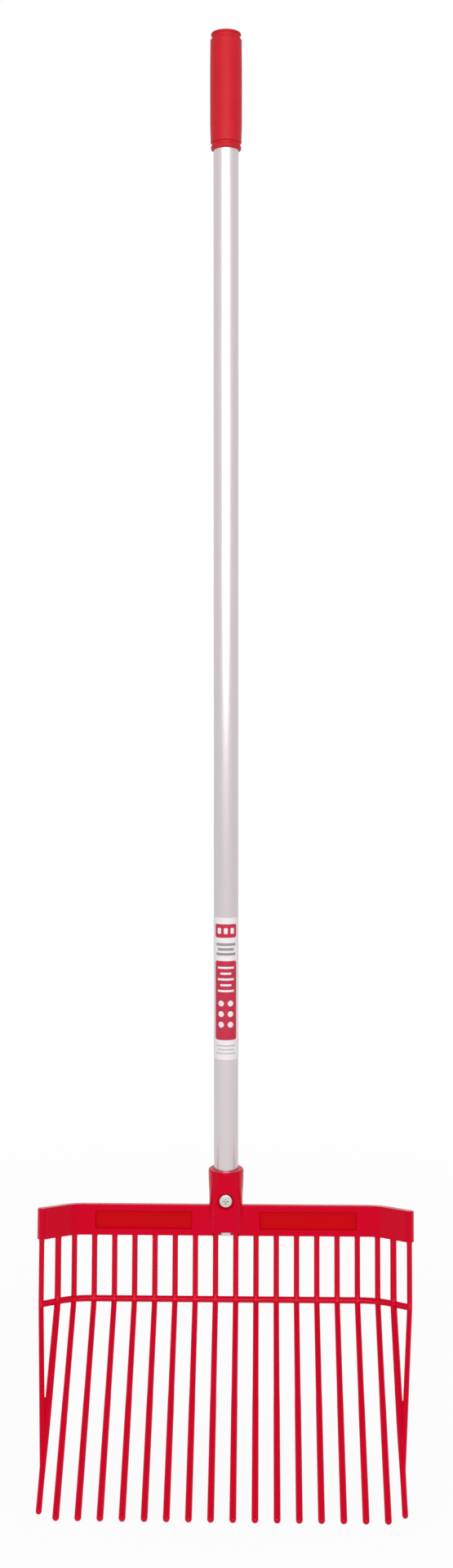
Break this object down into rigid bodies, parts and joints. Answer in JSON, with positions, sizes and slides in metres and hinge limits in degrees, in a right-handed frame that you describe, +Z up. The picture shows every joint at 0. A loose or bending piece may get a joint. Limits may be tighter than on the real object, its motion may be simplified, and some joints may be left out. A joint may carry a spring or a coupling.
{
  "type": "bedding fork",
  "caption": "Hand fork for mucking out: a moulded basket of round tines with raised sides, bolted to a straight aluminium tube with a slip-on grip.",
  "frame": {"origin": "on the handle's axis, at the middle of the grip's straight belly", "axes": "+Z up along the handle to the closed end of the grip, -Y to the load side of the basket, +X to the right as seen from the load side"},
  "size_m": [0.386, 0.2216, 1.4224],
  "materials": {
    "head_abs": "glossy moulded ABS",
    "tube_aluminium": "satin drawn tube",
    "grip_plastic": "matt, lightly textured soft plastic",
    "label_film": "printed self-adhesive film",
    "bolt_zinc": "bright zinc plating",
    "ring_nylon": "natural nylon"
  },
  "bodies": {
    "root": {"handle_tube": "tube_aluminium", "handle_grip": "grip_plastic", "handle_label": "label_film", "head_socket": "head_abs", "left_cross_bar": "head_abs", "right_cross_bar": "head_abs", "left_bar_end": "head_abs", "right_bar_end": "head_abs", "tie_bar": "head_abs", "left_tie_end": "head_abs", "right_tie_end": "head_abs", "left_outer_tine": "head_abs", "left_inner_tine": "head_abs", "left_side_web": "head_abs", "right_outer_tine": "head_abs", "right_inner_tine": "head_abs", "right_side_web": "head_abs", "socket_bolt": "bolt_zinc", "bolt_washer": "bolt_zinc", "lock_nut": "bolt_zinc", "lock_nut_ring": "ring_nylon", "floor_tine_01": "head_abs", "floor_tine_02": "head_abs", "floor_tine_03": "head_abs", "floor_tine_04": "head_abs", "floor_tine_05": "head_abs", "floor_tine_06": "head_abs", "floor_tine_07": "head_abs", "floor_tine_08": "head_abs", "floor_tine_09": "head_abs", "floor_tine_10": "head_abs", "floor_tine_11": "head_abs", "floor_tine_12": "head_abs", "floor_tine_13": "head_abs", "floor_tine_14": "head_abs", "floor_tine_15": "head_abs", "floor_tine_16": "head_abs"}
  },
  "joints": []
}
